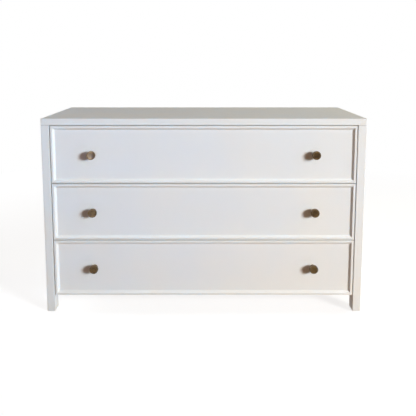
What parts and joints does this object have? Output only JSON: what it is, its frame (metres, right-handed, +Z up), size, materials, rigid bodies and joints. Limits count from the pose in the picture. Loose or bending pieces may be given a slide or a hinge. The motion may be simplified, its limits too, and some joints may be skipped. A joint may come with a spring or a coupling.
{
  "type": "chest of drawers",
  "caption": "White lacquered chest with a slab top, square posts that run down as legs, full-width drawers edged with mitred moulding, round aged-brass knobs and telescopic slides.",
  "frame": {"origin": "on the floor, in the middle of the width and of the whole depth including the knobs", "axes": "+X to the right of someone in front of the chest, -Y out of the drawer fronts, +Z up"},
  "size_m": [1.2, 0.504, 0.745],
  "materials": {
    "white_lacquer": "satin lacquer sprayed on MDF and poplar",
    "birch_plywood": "clear matt varnish",
    "beech": "planed, bare",
    "aged_brass": "antique brown patina, waxed",
    "slide_steel": "bright zinc plate",
    "screw_steel": "zinc plate",
    "glide_nylon": "moulded nylon"
  },
  "bodies": {
    "carcass": {"top_panel": "white_lacquer", "front_post_left": "white_lacquer", "front_post_right": "white_lacquer", "back_post_left": "white_lacquer", "back_post_right": "white_lacquer", "side_rail_upper_left": "white_lacquer", "side_rail_upper_right": "white_lacquer", "side_rail_lower_left": "white_lacquer", "side_rail_lower_right": "white_lacquer", "side_panel_left": "white_lacquer", "side_panel_right": "white_lacquer", "top_back_rail": "white_lacquer", "bottom_back_rail": "white_lacquer", "back_panel": "white_lacquer", "top_front_rail": "white_lacquer", "divider_rail_upper": "white_lacquer", "divider_rail_lower": "white_lacquer", "bottom_front_rail": "white_lacquer", "slide_cleats": "beech", "foot_glides": "glide_nylon", "case_screws": "screw_steel", "drawer_1_slide_outer": "slide_steel", "drawer_2_slide_outer": "slide_steel", "drawer_3_slide_outer": "slide_steel"},
    "drawer_1": {"drawer_1_front": "white_lacquer", "drawer_1_moulding": "white_lacquer", "drawer_1_side_left": "birch_plywood", "drawer_1_side_right": "birch_plywood", "drawer_1_box_front": "birch_plywood", "drawer_1_box_back": "birch_plywood", "drawer_1_bottom": "birch_plywood", "drawer_1_knob_left": "aged_brass", "drawer_1_knob_right": "aged_brass", "drawer_1_screws": "screw_steel", "drawer_1_slide_inner": "slide_steel"},
    "drawer_2": {"drawer_2_front": "white_lacquer", "drawer_2_moulding": "white_lacquer", "drawer_2_side_left": "birch_plywood", "drawer_2_side_right": "birch_plywood", "drawer_2_box_front": "birch_plywood", "drawer_2_box_back": "birch_plywood", "drawer_2_bottom": "birch_plywood", "drawer_2_knob_left": "aged_brass", "drawer_2_knob_right": "aged_brass", "drawer_2_screws": "screw_steel", "drawer_2_slide_inner": "slide_steel"},
    "drawer_3": {"drawer_3_front": "white_lacquer", "drawer_3_moulding": "white_lacquer", "drawer_3_side_left": "birch_plywood", "drawer_3_side_right": "birch_plywood", "drawer_3_box_front": "birch_plywood", "drawer_3_box_back": "birch_plywood", "drawer_3_bottom": "birch_plywood", "drawer_3_knob_left": "aged_brass", "drawer_3_knob_right": "aged_brass", "drawer_3_screws": "screw_steel", "drawer_3_slide_inner": "slide_steel"},
    "slide_1": {"drawer_1_slide_middle": "slide_steel"},
    "slide_2": {"drawer_2_slide_middle": "slide_steel"},
    "slide_3": {"drawer_3_slide_middle": "slide_steel"}
  },
  "joints": [
    {"name": "drawer_1_slide", "type": "slide", "parent": "carcass", "child": "drawer_1", "axis": [0, -1, 0], "range_m": [0, 0.38]},
    {"name": "drawer_2_slide", "type": "slide", "parent": "carcass", "child": "drawer_2", "axis": [0, -1, 0], "range_m": [0, 0.38]},
    {"name": "drawer_3_slide", "type": "slide", "parent": "carcass", "child": "drawer_3", "axis": [0, -1, 0], "range_m": [0, 0.38]},
    {"name": "telescope_1_slide", "type": "slide", "parent": "carcass", "child": "slide_1", "axis": [0, -1, 0], "range_m": [0, 0.19]},
    {"name": "telescope_2_slide", "type": "slide", "parent": "carcass", "child": "slide_2", "axis": [0, -1, 0], "range_m": [0, 0.19]},
    {"name": "telescope_3_slide", "type": "slide", "parent": "carcass", "child": "slide_3", "axis": [0, -1, 0], "range_m": [0, 0.19]}
  ],
  "couplings": [
    {"joint": "telescope_1_slide", "follows": "drawer_1_slide", "ratio": 0.5},
    {"joint": "telescope_2_slide", "follows": "drawer_2_slide", "ratio": 0.5},
    {"joint": "telescope_3_slide", "follows": "drawer_3_slide", "ratio": 0.5}
  ]
}
